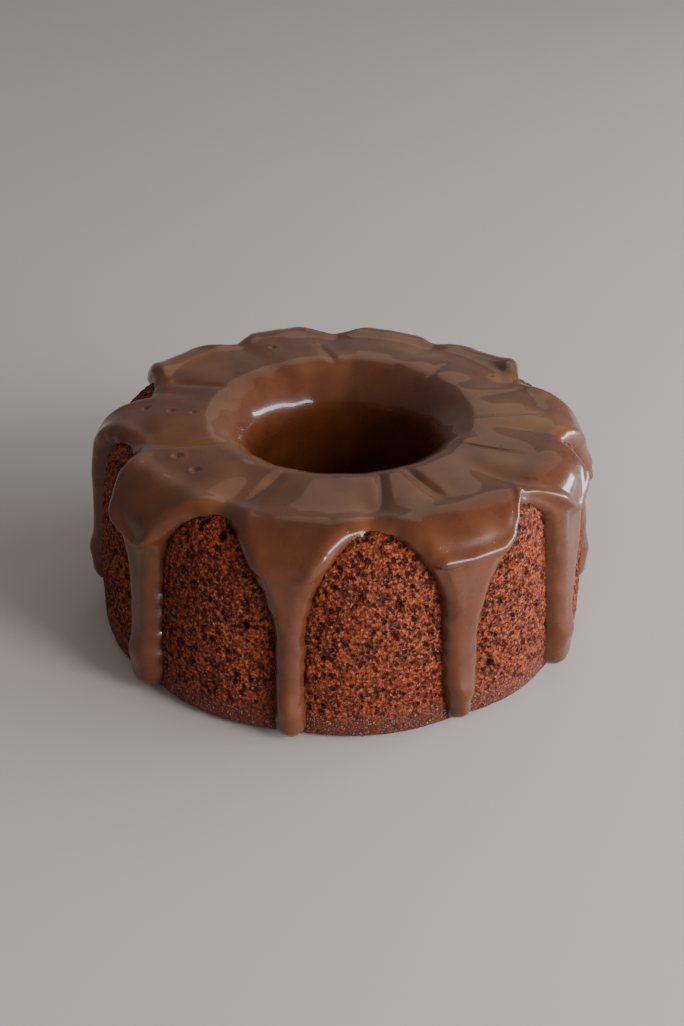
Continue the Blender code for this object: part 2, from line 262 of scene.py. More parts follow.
def down_to_base(path, edge_radius):
    """A side of the section, finished with a plain wall and an edge down to the base."""
    heading = sum(turn for _, turn in path)
    reached = sum(length for length, _ in path)
    height = CAKE_HEIGHT + trace(path, np.array([reached]))[1, 0]
    wall = (height - edge_radius * (1.0 + math.cos(heading))) / math.sin(heading)
    return path + [(wall, 0.0), arc(edge_radius, math.pi - heading)]


OUTER_SIDE = down_to_base([
    (CROWN_HALF, 0.0), arc(SHOULDER_RADIUS, math.pi / 2.0 - WALL_LEAN),
    (UPPER_WALL, 0.0), (BELLY_CURVE, WALL_LEAN)], BASE_EDGE_RADIUS)
HOLE_SIDE = down_to_base([
    (CROWN_HALF, 0.0), arc(LIP_RADIUS, math.pi / 2.0 - HOLE_TAPER)], HOLE_EDGE_RADIUS)
OUTER_LENGTH = sum(length for length, _ in OUTER_SIDE)
HOLE_LENGTH = sum(length for length, _ in HOLE_SIDE)


def section(reach):
    """Radius, height and outward normal of the plain ring at distances from its crown."""
    inward = reach < 0.0
    sign = np.where(inward, -1.0, 1.0)
    far = np.abs(reach)
    out, height, slope = np.where(inward, trace(HOLE_SIDE, far), trace(OUTER_SIDE, far))
    return CROWN_RADIUS + sign * out, CAKE_HEIGHT + height, sign * np.sin(slope), np.cos(slope)


def ramp(value, low, high):
    """Smooth rise from 0 at one value to 1 at another."""
    share = np.clip((value - low) / (high - low), 0.0, 1.0)
    return share * share * (3.0 - 2.0 * share)


def bump(value, middle, width):
    """Smooth hump of height 1 about a middle value."""
    return np.exp(-((value - middle) / width) ** 2)


def run_angle(index):
    """Angle of a run, a whole turn further on for every round of the ring."""
    rounds, number = divmod(index, FLUTES)
    return math.radians(RUNS[number][0]) + 2.0 * math.pi * rounds


def peak_angle(index):
    """Angle of the top of the arch between a run and the next."""
    start, end = run_angle(index), run_angle(index + 1)
    return start + ARCHES[index][0] * (end - start)


def aside(angle, middle):
    """Angle from one direction to another, the shorter way round."""
    return (angle - middle + math.pi) % (2.0 * math.pi) - math.pi


def nearest(angle, middles):
    """Angle to the nearest of several directions."""
    return np.min([np.abs(aside(angle, middle)) for middle in middles], axis=0)


def flute(angle):
    """Depth of the flutes at an angle, from 0 on a rib to 1 in the middle of a flute."""
    off = np.minimum(nearest(angle, [run_angle(index) for index in range(FLUTES)]), FLUTE_REACH)
    soft = np.hypot(off / FLUTE_REACH, FLUTE_ROUNDING)
    return np.clip((1.0 - soft) / (1.0 - FLUTE_ROUNDING), 0.0, None) ** 2


def valley(angle):
    """Depth of the valleys between the lobes of icing, each over the top of an arch."""
    off = nearest(angle, [peak_angle(index) for index in range(FLUTES)])
    return 1.0 / (1.0 + (off / VALLEY_WIDTH) ** 2)


def recess(angle, reach):
    """How far the flutes sink the sponge below the plain ring."""
    fading = 1.0 - (1.0 - FLUTE_AT_BASE) * ramp(reach, OUTER_LENGTH / 2.0, OUTER_LENGTH)
    return FLUTE_DEPTH * flute(angle) * fading * ramp(reach, FLUTE_START, FLUTE_FULL)


def humps(table, angle, reach):
    """Sum of the humps in a table."""
    total = np.zeros(len(angle))
    for middle, width, depth, start, full, ease, end in table:
        where = bump(aside(angle, math.radians(middle)), 0.0, math.radians(width))
        total += depth * where * (ramp(reach, start, full) - ramp(reach, ease, end))
    return total


def reach_at(height):
    """Distance from the crown at which the outer wall comes down to a height."""
    reach = np.linspace(CROWN_HALF, OUTER_LENGTH, 400)
    return np.interp(-height, -section(reach)[1], reach)


def tip(index):
    """Middle of the round tip of a run, as a distance from the crown."""
    _, half, height, _, _ = RUNS[index % FLUTES]
    return reach_at(height + half)


def stem(index, reach):
    """Half width of a run at distances from the crown."""
    _, half, _, swell, _ = RUNS[index % FLUTES]
    return half * (1.0 + swell * bump(reach, tip(index), SWELL_LENGTH))


def beyond_arch(across, reach, left, right, arch):
    """Distance outside an arched panel, negative inside, given its two straight sides."""
    share, top, left_spring, right_spring, square = arch
    peak = left + share * (right - left)
    half = np.where(across < peak, peak - left, right - peak)
    spring = np.where(across < peak, left_spring, right_spring)
    over = np.abs(across - peak) / half
    rise = np.maximum(spring - reach, 0.0) / (spring - top)
    norm = np.maximum((over ** square + rise ** square) ** (1.0 / square), 1e-6)
    scale = norm ** (1.0 - square)
    slope = np.hypot(scale * over ** (square - 1.0) / half,
                     scale * rise ** (square - 1.0) / (spring - top))
    return (norm - 1.0) / np.maximum(slope, 1.0)


def cover(angle, reach):
    """Distance inside the iced area, negative where the sponge is bare."""
    radius = section(reach)[0]
    found = np.zeros(len(angle))
    first = run_angle(0)
    turned = first + (angle - first) % (2.0 * math.pi)
    for index in range(FLUTES):
        start, end = run_angle(index), run_angle(index + 1)
        here = (turned >= start) & (turned < end)
        across, far = (turned[here] - start) * radius[here], reach[here]
        span = (end - start) * radius[here]
        left, right = stem(index, far), span - stem(index + 1, far)
        inside = beyond_arch(across, far, left, right, ARCHES[index])
        for run, off, half in ((index, across, left), (index + 1, span - across, span - right)):
            past = far - tip(run)
            nearer = (off <= span / 2.0) & (past > 0.0)
            inside = np.where(nearer, np.minimum(inside, half - np.hypot(off, past)), inside)
        found[here] = inside
    end = HOLE_COAT_END + HOLE_COAT_WAVE * np.sin(3.0 * angle + 2.0 * np.sin(2.0 * angle))
    return np.minimum(found, reach + HOLE_LENGTH - end)


def straight_fall(reach):
    """Extra thickness that keeps the runs upright where the sponge's edge turns under."""
    wall_end = OUTER_LENGTH - OUTER_SIDE[-1][0]
    wall_radius = section(np.array([wall_end]))[0][0]
    return np.where(reach > wall_end, wall_radius - section(reach)[0], 0.0)


def bulk(angle, reach):
    """Thickness beyond the coat: of the heavy lobes and runs, and of the drops at the tips."""
    total = humps(HEAVY, angle, reach)
    for index in range(FLUTES):
        heavier = RUNS[index][4] * ramp(reach, BULK_START, BULK_FULL)
        drop = DROP * ramp(reach, tip(index) - DROP_START, tip(index) - DROP_FULL)
        total += (heavier + drop) * bump(aside(angle, run_angle(index)), 0.0, BULK_WIDTH)
    return total


def coat(angle, reach, inside, icing):
    """How far the icing's face stands off the plain ring."""
    on_skirt = 1.0 - ramp(reach, SKIRT_START, SKIRT_END)
    over_shoulder = ramp(reach, CROWN_HALF / 2.0, 2.0 * CROWN_HALF)
    rolled = icing.lip_roll * bump(inside, ROLL_WIDTH, 0.7 * ROLL_WIDTH)
    low = valley(angle)
    skirt = icing.skirt * (1.0 - low)
    channel = icing.valley * low * ramp(reach, VALLEY_START, VALLEY_FULL)
    outer = icing.coat - channel + on_skirt * (over_shoulder * skirt + rolled)
    outer = outer + bulk(angle, reach) + straight_fall(reach)
    down_hole = ramp(-reach, CROWN_HALF, 2.0 * CROWN_HALF)
    return outer + down_hole * (icing.hole_coat - outer)


def sponge_relief(angle, reach):
    """Offset of the sponge from the plain ring."""
    return -recess(angle, reach) - humps(SETTLED, angle, reach)


def waves(angle, reach, seed, across, along, count=14):
    """Gentle unevenness about 0, from sines that all close round the ring."""
    draw = np.random.default_rng(seed)
    total = np.zeros(len(angle))
    for _ in range(count):
        turns = draw.integers(1, across)
        rise = draw.uniform(-1.0, 1.0) * 2.0 * math.pi / along
        total += np.sin(turns * angle + rise * reach + draw.uniform(0.0, 2.0 * math.pi))
    return total / math.sqrt(count)


def folds(angle, reach):
    """Lips of the folds, each standing proud above its line and thinner below it."""
    total = np.zeros(len(angle))
    for height, places in FOLDS:
        turns, lines = np.array(places).T
        middle = (turns[0] + turns[-1]) / 2.0
        here = middle + np.degrees(aside(angle, math.radians(middle)))
        past = reach - np.interp(here, turns, lines * MM)
        ends = ramp(here - turns[0], *FOLD_SETS_IN) \
            * (1.0 - ramp(here - turns[-1], *FOLD_DIES_OUT))
        lip = bump(past, *FOLD_LIP) - FOLD_UNDERCUT * ramp(past, *FOLD_STEP)
        total += height * MM * ends * lip * (1.0 - ramp(past, *FOLD_FADE))
    return total


def bubbles(angle, reach):
    """Craters of the burst bubbles, each a low rim round a dimple."""
    radius = section(reach)[0]
    total = np.zeros(len(angle))
    for middle, distance, size in BUBBLES:
        across = aside(angle, math.radians(middle)) * radius
        off = np.hypot(across, reach - distance * MM) / (size * MM)
        total += size * MM * (RIM_HEIGHT * bump(off, 1.0, RIM_WIDTH)
                              - DIMPLE_DEPTH * bump(off, 0.0, DIMPLE_WIDTH))
    return total


def beads(angle, reach):
    """Rounder swelling of every run above its tip."""
    total = np.zeros(len(angle))
    for index in range(FLUTES):
        across = aside(angle, run_angle(index)) * BEAD_RADIUS
        total += bump(across, 0.0, RUNS[index][1]) * bump(reach, tip(index) - BEAD_ABOVE,
                                                         BEAD_LENGTH)
    return BEAD_HEIGHT * total


def creases(angle, reach):
    """Depth of the creases, deepest halfway along."""
    radius = section(reach)[0]
    total = np.zeros(len(angle))
    for start, near, end, far, width, depth in CREASES:
        share = (reach - near * MM) / ((far - near) * MM)
        middle = np.radians(start + (end - start) * share)
        across = aside(angle, middle) * radius
        along = ramp(share, 0.0, 0.3) * (1.0 - ramp(share, 0.6, 1.0))
        total += depth * MM * along * bump(across, 0.0, width * MM)
    return total


def icing_relief(angle, reach, icing):
    """Offset of the icing's face from the plain ring, sunk below bare sponge."""
    ragged = icing.ragged * waves(angle, reach, *RAGGED_WAVES)
    inside = cover(angle, reach) + ragged
    sunk = recess(angle, reach)
    edge = np.minimum(np.abs(inside) / EDGE_WIDTH, 1.0)
    rise = np.sign(inside) * np.sqrt(1.0 - (1.0 - edge) ** 2)
    plain = rise * (coat(angle, reach, inside, icing) + sunk) - sunk - humps(SETTLED, angle, reach)
    well_in = ramp(inside, *EDGE_CLEAR)
    uneven = icing.uneven * waves(angle, reach, *UNEVEN_WAVES)
    return plain + well_in * (uneven + folds(angle, reach) + bubbles(angle, reach)
                              + beads(angle, reach) - creases(angle, reach))


def spaced(stops):
    """Distances from the crown that divide each stretch between stops evenly."""
    parts = [np.linspace(start, end, count, endpoint=False)
             for (start, _), (end, count) in zip(stops, stops[1:])]
    return np.concatenate(parts + [np.array([stops[-1][0]])])


def rows(hole, lip, crown, shoulder, wall, edge):
    """Distances from the crown for the rings of a mesh, from counts for each stretch."""
    wall_end = OUTER_LENGTH - OUTER_SIDE[-1][0]
    shoulder_end = CROWN_HALF + OUTER_SIDE[1][0]
    lip_end = CROWN_HALF + HOLE_SIDE[1][0]
    hole_end = HOLE_LENGTH - HOLE_SIDE[-1][0]
    return spaced([(-HOLE_LENGTH, 0), (-hole_end, 2), (-lip_end, hole), (-CROWN_HALF, lip),
                   (CROWN_HALF, crown), (shoulder_end, shoulder), (wall_end, wall),
                   (OUTER_LENGTH, edge)])


def ring(name, reach, columns, relief):
    """A closed ring of quads, and the angle and distance from the crown of every point."""
    count = len(reach)
    angle = np.repeat(np.linspace(0.0, 2.0 * math.pi, columns, endpoint=False), count)
    far = np.tile(reach, columns)
    radius, height, out, up = section(far)
    under = up < 0.0
    out, up = np.where(under, np.sign(far), out), np.where(under, 0.0, up)
    off = relief(angle, far)
    radius, height = radius + out * off, height + up * off
    points = np.stack([radius * np.sin(angle), -radius * np.cos(angle), height], axis=1)
    column, row = np.divmod(np.arange(columns * count), count)
    beside, above = (column + 1) % columns * count, (row + 1) % count
    faces = np.stack([column * count + row, column * count + above, beside + above,
                      beside + row], axis=1)
    mesh = bpy.data.meshes.new(name)
    mesh.from_pydata(points.tolist(), [], faces.tolist())
    mesh.shade_smooth()
    piece = bpy.data.objects.new(name, mesh)
    bpy.context.scene.collection.objects.link(piece)
    return piece, angle, far


def remember(piece, name, values):
    """Keep one number for every point of a piece, for its nodes to read."""
    layer = piece.data.attributes.new(name, 'FLOAT', 'POINT')
    layer.data.foreach_set("value", np.ascontiguousarray(values, dtype=np.float32))


def keep_largest(piece):
    """Drop the slivers that a cut leaves beside the main body."""
    form = bmesh.new()
    form.from_mesh(piece.data)
    form.verts.ensure_lookup_table()
    bodies, seen = [], set()
    for first in form.verts:
        if first in seen:
            continue
        seen.add(first)
        body, waiting = [first], [first]
        while waiting:
            for edge in waiting.pop().link_edges:
                for vertex in edge.verts:
                    if vertex not in seen:
                        seen.add(vertex)
                        body.append(vertex)
                        waiting.append(vertex)
        bodies.append(body)
    bodies.sort(key=len)
    stray = [vertex for body in bodies[:-1] for vertex in body]
    bmesh.ops.delete(form, geom=stray, context='VERTS')
    form.to_mesh(piece.data)
    form.free()


def flatten(piece):
    """Put a piece's modifiers into its mesh."""
    graph = bpy.context.evaluated_depsgraph_get()
    mesh = bpy.data.meshes.new_from_object(piece.evaluated_get(graph))
    piece.modifiers.clear()
    piece.data = mesh


def settle(piece, slot, *nodes):
    """Attach a finished piece to the cake, in place of the solids it stands for."""
    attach(piece, "root")
    if nodes:
        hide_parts(*nodes)


class Value:
    """An output of a node tree that takes part in sums as a number does."""

    def __init__(self, tree, socket):
        self.tree = tree
        self.socket = socket

    def math(self, operation, *terms):
        made = self.tree.node('ShaderNodeMath', {"operation": operation},
                              dict(enumerate(terms)))
        return Value(self.tree, made.outputs[0])

    def larger(self, other):
        return self.math('MAXIMUM', self, other)

    def __add__(self, other):
        return self.math('ADD', self, other)

    def __sub__(self, other):
        return self.math('SUBTRACT', self, other)

    def __rsub__(self, other):
        return self.math('SUBTRACT', other, self)

    def __mul__(self, other):
        return self.math('MULTIPLY', self, other)

    def __truediv__(self, other):
        return self.math('DIVIDE', self, other)

    def __rtruediv__(self, other):
        return self.math('DIVIDE', other, self)

    __radd__ = __add__
    __rmul__ = __mul__


class Tree:
    """A node tree that is written as expressions."""

    def __init__(self, tree):
        self.tree = tree
        self.tree.nodes.clear()

    def node(self, kind, settings=None, inputs=None):
        """Add a node: its settings first, then the values or links of its sockets."""
        made = self.tree.nodes.new(kind)
        for name, value in (settings or {}).items():
            setattr(made, name, value)
        for key, value in (inputs or {}).items():
            self.feed(made.inputs[key], value)
        return made

    def feed(self, socket, value):
        """Link an input to a value of the tree, or set it."""
        if isinstance(value, Value):
            self.tree.links.new(value.socket, socket)
        else:
            socket.default_value = value

    def value(self, kind, settings=None, inputs=None, output=0):
        """Add a node and take one of its outputs."""
        return Value(self, self.node(kind, settings, inputs).outputs[output])

    def vector(self, operation, first, second=None, scale=None):
        """Sum or scaling of vectors."""
        inputs = {0: first}
        if second is not None:
            inputs[1] = second
        if scale is not None:
            inputs["Scale"] = scale
        return self.value('ShaderNodeVectorMath', {"operation": operation}, inputs)

    def rise(self, value, low, high, start=0.0, end=1.0):
        """Smooth step of a value between two limits."""
        return self.value('ShaderNodeMapRange', {"interpolation_type": 'SMOOTHSTEP'},
                          {"Value": value, "From Min": low, "From Max": high,
                           "To Min": start, "To Max": end})

    def noise(self, place, size, detail=2.0, roughness=0.5, output="Fac"):
        """Noise with features of one size, from 0 to 1."""
        return self.value('ShaderNodeTexNoise', None,
                          {"Vector": self.vector('SCALE', place, scale=1.0 / size),
                           "Scale": 1.0, "Detail": detail, "Roughness": roughness}, output)

    def cells(self, place, size, output="Distance"):
        """Scattered cells of one spacing: the distance to the nearest, or its own colour."""
        return self.value('ShaderNodeTexVoronoi', None,
                          {"Vector": self.vector('SCALE', place, scale=1.0 / size),
                           "Scale": 1.0}, output)

    def channel(self, colour, index=0):
        """One channel of a colour or vector."""
        return self.value('ShaderNodeSeparateXYZ', None, {0: colour}, index)

    def mix(self, share, first, second, blend='MIX'):
        """Mix of two colours."""
        made = self.node('ShaderNodeMix', {"data_type": 'RGBA', "blend_type": blend})
        for index, value in ((0, share), (6, first), (7, second)):
            self.feed(made.inputs[index], value)
        return Value(self, made.outputs[2])


def opaque(colour, share=1.0):
    """A colour as a node takes it, lightened or darkened by a share."""
    return (*(min(1.0, part * share) for part in colour), 1.0)


def material(name):
    """A new material, with its tree, its shader and the place on the piece."""
    made = bpy.data.materials.new(name)
    made.use_nodes = True
    tree = Tree(made.node_tree)
    shader = tree.node('ShaderNodeBsdfPrincipled')
    tree.node('ShaderNodeOutputMaterial', None, {"Surface": Value(tree, shader.outputs[0])})
    place = tree.value('ShaderNodeTexCoord', output="Object")
    return made, tree, shader, place


def crumb_material(name, sponge):
    """Baked chocolate crumb: red-brown grains with painted highlights on their tops and
    painted shade between them, pits and pores darkened with painted shade, and a moist
    base with painted glints.
    """
    made, tree, shader, place = material(name)
    pore = tree.value('ShaderNodeAttribute', {"attribute_name": "pore"}, output="Fac")
    crust = tree.value('ShaderNodeAttribute', {"attribute_name": "crust"}, output="Fac")
    iced = tree.value('ShaderNodeAttribute', {"attribute_name": "iced"}, output="Fac")

    warp = tree.vector('SCALE', tree.noise(place, 2.0 * MM, output="Color"), scale=2.0 * MM)
    bent = tree.vector('ADD', place, warp)
    fine = tree.noise(place, 1.2 * MM, detail=3.0, roughness=0.65)
    grain = fine * 0.70 + (0.95 - tree.cells(bent, 1.8 * MM)) * 0.30
    clumps = tree.noise(place, 5.0 * MM, detail=2.0)
    broad = tree.noise(place, 30.0 * MM, detail=1.0)
    tint = tree.noise(place, 3.2 * MM, detail=1.0)

    def pits(spacing, rare, largest):
        """Round pits of one spacing, from 0 between them to 1 inside."""
        chance = tree.channel(tree.cells(bent, spacing, "Color"))
        edge = tree.rise(chance, rare, 1.0, 0.12, largest)
        return tree.rise(tree.cells(bent, spacing) / edge, 0.60, 1.10, 1.0, 0.0) \
            * tree.rise(chance, rare, rare + 0.10)

    pitted = pits(3.3 * MM, 0.10, 0.46).larger(pits(2.1 * MM, 0.40, 0.40))
    pitted = pitted * (1.0 - crust * 0.8)

    # Partly the crumb's own tone and partly painted shade: the crumb darkens towards the shade
    # colour where the grains sink between the clumps
    light = tree.rise(grain * 0.75 + clumps * 0.25, 0.38, 0.56)
    colour = tree.mix(light, opaque(sponge.shade), opaque(sponge.colour))
    # Partly the crumb's own tone and partly painted highlight: the raised tops of the grains are
    # lightened to orange and pale rose
    bright = tree.mix(tree.rise(tint, 0.42, 0.58), opaque(sponge.glint), opaque(sponge.rose))
    colour = tree.mix(tree.rise(grain, 0.50, 0.68) * 0.9, colour, bright)
    colour = tree.mix(tree.rise(broad, 0.35, 0.65) * 0.5, colour,
                      opaque(sponge.warm), blend='MULTIPLY')
    colour = tree.mix(crust * 0.70, colour, opaque(sponge.crust))
    # Painted shade: the pits and the sunk pores are darkened to the near-black pore colour, as if
    # shade fell in them
    colour = tree.mix(pitted * 0.92, colour, opaque(sponge.hollow))
    colour = tree.mix(pore * 0.95, colour, opaque(sponge.hollow))
    # Painted shade: the crumb just beside the icing's edge is darkened, as if shaded by the edge
    colour = tree.mix(iced * 0.55, colour, opaque(sponge.hollow))
    # Painted glints: pale specks on the moist base, which also get a glossy coat and a lower
    # roughness
    beads = crust * tree.rise(tree.noise(place, 0.9 * MM, detail=1.0), 0.61, 0.69)
    colour = tree.mix(beads * 0.5, colour, opaque(sponge.bead_glint))
    tree.feed(shader.inputs["Base Color"], colour)
    tree.feed(shader.inputs["Roughness"], 0.88 - beads * 0.60 - crust * 0.15)
    tree.feed(shader.inputs["Coat Weight"], beads * 0.6)
    shader.inputs["Coat Roughness"].default_value = 0.12
    shader.inputs["Specular IOR Level"].default_value = 0.30

    height = grain * 1.1 + clumps * 0.3 - pitted * 1.1 - pore * 0.4 + beads * 0.25
    relief = tree.node('ShaderNodeBump', None, {"Height": height, "Strength": 1.0,
                                                "Distance": 1.3 * MM})
    tree.feed(shader.inputs["Normal"], Value(tree, relief.outputs[0]))
    return made


def icing_material(icing):
    """Glossy milk-chocolate icing, darker in patches at random, with painted warm
    reflections over its top.
    """
    made, tree, shader, place = material("chocolate_icing")
    broad = tree.noise(place, 38.0 * MM, detail=2.0, roughness=0.45)
    patch = tree.noise(place, 15.0 * MM, detail=3.0, roughness=0.55)
    fine = tree.noise(place, 1.6 * MM, detail=3.0, roughness=0.6)
    # Painted reflection: warm patches lightened into the colour over the top, where the glossy
    # icing would mirror warm room light
    on_top = tree.rise(tree.channel(place, 2), *WARM_SHEEN_HEIGHTS)
    colour = tree.mix(tree.rise(patch, 0.30, 0.70), opaque(icing.deep), opaque(icing.colour))
    colour = tree.mix(tree.rise(broad, 0.48, 0.68) * on_top * 0.70, colour, opaque(icing.warm))
    tree.feed(shader.inputs["Base Color"], colour)
    tree.feed(shader.inputs["Roughness"], 0.18 + patch * 0.16 + fine * 0.05)
    shader.inputs["Specular IOR Level"].default_value = 0.26
    shader.inputs["Coat Weight"].default_value = 0.50
    shader.inputs["Coat Roughness"].default_value = 0.03
    speck = tree.channel(tree.cells(place, 3.0 * MM, "Color"))
    specks = tree.rise(tree.cells(place, 3.0 * MM), 0.05, 0.20, 1.0, 0.0) \
        * tree.rise(speck, 0.90, 0.92)
    height = patch * 0.5 + fine * 0.05 + specks * 1.2
    relief = tree.node('ShaderNodeBump', None, {"Height": height, "Strength": 0.25,
                                                "Distance": 1.0 * MM})
    tree.feed(shader.inputs["Normal"], Value(tree, relief.outputs[0]))
    return made


def geometry_tree(name, sizes):
    """A new Geometry Nodes tree, with its inputs for sizes as values."""
    group = bpy.data.node_groups.new(name, 'GeometryNodeTree')
    group.is_modifier = True
    group.interface.new_socket("Geometry", in_out='INPUT', socket_type='NodeSocketGeometry')
    for label, default in sizes.items():
        kind = 'NodeSocketInt' if isinstance(default, int) else 'NodeSocketFloat'
        group.interface.new_socket(label, in_out='INPUT', socket_type=kind)
    group.interface.new_socket("Material", in_out='INPUT', socket_type='NodeSocketMaterial')
    group.interface.new_socket("Geometry", in_out='OUTPUT', socket_type='NodeSocketGeometry')
    tree = Tree(group)
    source = tree.node('NodeGroupInput')
    return tree, {socket.name: Value(tree, socket) for socket in source.outputs if socket.name}


def finish_tree(tree, geometry, finish):
    """End a tree in plain geometry with its material."""
    real = tree.value('GeometryNodeRealizeInstances', None, {"Geometry": geometry})
    coloured = tree.value('GeometryNodeSetMaterial', None,
                          {"Geometry": real, "Material": finish})
    tree.node('NodeGroupOutput', None, {"Geometry": coloured})


def apply_tree(piece, tree, finish, sizes):
    """Run a Geometry Nodes tree on a piece and keep the plain mesh."""
    modifier = piece.modifiers.new(tree.tree.name, 'NODES')
    modifier.node_group = tree.tree
    given = {**sizes, "Material": finish}
    for item in tree.tree.interface.items_tree:
        if item.in_out == 'INPUT' and item.name in given:
            modifier[item.identifier] = given[item.name]
    flatten(piece)


def open_crumb(sizes):
    """Tree that sinks pores into the crumb and roughens what is between them."""
    tree, given = geometry_tree("open crumb", sizes)
    place = tree.value('GeometryNodeInputPosition')
    normal = tree.value('GeometryNodeInputNormal')
    opened = tree.value('GeometryNodeInputNamedAttribute', {"data_type": 'FLOAT'},
                        {"Name": "open"})
    warp = tree.vector('SUBTRACT', tree.noise(place, 4.0 * MM, output="Color"),
                       (0.5, 0.5, 0.5))
    bent = tree.vector('ADD', place, tree.vector('SCALE', warp, scale=3.2 * MM))

    def pores(spacing, rare, small, large):
        """Pores of one spacing, from 0 between them to 1 inside."""
        size = given[spacing]
        chance = tree.channel(tree.cells(bent, size, "Color"))
        radius = tree.rise(chance, rare, 1.0, small, large)
        return tree.rise(tree.cells(bent, size) / radius, 0.55, 1.15, 1.0, 0.0) \
            * tree.rise(chance, rare, rare + 0.08)

    small = pores("Pore Spacing", 0.25, 0.18, 0.46)
    large = pores("Cave Spacing", 0.45, 0.14, 0.30)
    grain = tree.noise(place, given["Grain Size"], detail=3.0, roughness=0.6)
    depth = small * given["Pore Depth"] + large * given["Cave Depth"]
    depth = depth + (0.62 - grain) * 2.0 * given["Grain Height"]
    offset = tree.vector('SCALE', normal, scale=depth * opened * -1.0)
    moved = tree.value('GeometryNodeSetPosition', None,
                       {"Geometry": given["Geometry"], "Offset": offset})
    # Where the pores sink, kept for the painted shade that darkens them in the crumb's colour
    kept = tree.value('GeometryNodeStoreNamedAttribute', {"data_type": 'FLOAT'},
                      {"Geometry": moved, "Name": "pore",
                       "Value": (small * 0.8).larger(large) * opened})
    finish_tree(tree, kept, given["Material"])
    return tree


def scattered_grains(sizes):
    """Tree that scatters loose grains over the open crumb."""
    tree, given = geometry_tree("loose grains", sizes)
    loose = tree.value('GeometryNodeInputNamedAttribute', {"data_type": 'FLOAT'},
                       {"Name": "loose"})
    points = tree.value('GeometryNodeDistributePointsOnFaces', None,
                        {"Mesh": given["Geometry"], "Density": loose * given["Density"],
                         "Seed": given["Seed"]})
    grain = tree.value('GeometryNodeMeshIcoSphere', None, {"Radius": 1.0, "Subdivisions": 1})
    size = tree.value('FunctionNodeRandomValue', {"data_type": 'FLOAT'},
                      {2: given["Smallest"], 3: given["Largest"], "Seed": given["Seed"]}, 1)
    turn = tree.value('FunctionNodeRandomValue', {"data_type": 'FLOAT_VECTOR'},
                      {0: (0.0, 0.0, 0.0), 1: (6.28, 6.28, 6.28), "Seed": given["Seed"]}, 0)
    squash = tree.value('FunctionNodeRandomValue', {"data_type": 'FLOAT_VECTOR'},
                        {0: (0.6, 0.6, 0.6), 1: (1.2, 1.2, 1.2), "Seed": given["Seed"]}, 0)
    placed = tree.value('GeometryNodeInstanceOnPoints', None,
                        {"Points": points, "Instance": grain,
                         "Rotation": turn, "Scale": tree.vector('SCALE', squash, scale=size)})
    finish_tree(tree, placed, given["Material"])
    return tree


class RINGCAKE_PG_sponge(bpy.types.PropertyGroup):
    """Sizes and colours of the sponge."""

    columns: IntProperty(name="Columns", description="Columns of faces round the ring",
                         default=790, min=60, max=1600)
    pore_spacing: FloatProperty(name="Pore spacing", description="Spacing of the small pores",
                                default=3.4 * MM, unit='LENGTH')
    pore_depth: FloatProperty(name="Pore depth", description="Depth of the small pores",
                              default=1.5 * MM, unit='LENGTH')
    cave_spacing: FloatProperty(name="Cave spacing", description="Spacing of the large pores",
                                default=8.5 * MM, unit='LENGTH')
    cave_depth: FloatProperty(name="Cave depth", description="Depth of the large pores",
                              default=3.0 * MM, unit='LENGTH')
    grain_size: FloatProperty(name="Grain size", description="Size of the grains of crumb",
                              default=1.9 * MM, unit='LENGTH')
    grain_height: FloatProperty(name="Grain height", description="Height of the grains",
                                default=0.9 * MM, unit='LENGTH')
    colour: FloatVectorProperty(name="Crumb", description="Colour of the crumb",
                                subtype='COLOR', default=(0.258, 0.052, 0.019))
    # Partly the denser crumb's own colour and partly painted shade between the grains
    shade: FloatVectorProperty(name="Shade", description="Colour of the denser crumb",
                               subtype='COLOR', default=(0.056, 0.015, 0.008))
    # Partly the grains' own colour and partly painted highlight on their raised tops
    glint: FloatVectorProperty(name="Grains", description="Colour of the orange grains",
                               subtype='COLOR', default=(0.57, 0.145, 0.040))
    rose: FloatVectorProperty(name="Pale grains", description="Colour of the paler grains",
                              subtype='COLOR', default=(0.49, 0.128, 0.060))
    warm: FloatVectorProperty(name="Warmth", description="Tint of the browner areas",
                              subtype='COLOR', default=(1.0, 0.86, 0.62))
    crust: FloatVectorProperty(name="Base", description="Colour of the dense moist base",
                               subtype='COLOR', default=(0.095, 0.024, 0.014))
    # Painted glints of the moist beads on the base
    bead_glint: FloatVectorProperty(name="Moist beads", description="Colour of the moist beads",
                              subtype='COLOR', default=(0.60, 0.40, 0.32))
    # Painted shade: this near-black goes into the pits and pores and beside the icing's edge
    hollow: FloatVectorProperty(name="Pores", description="Colour inside the pores",
                                subtype='COLOR', default=(0.014, 0.005, 0.004))


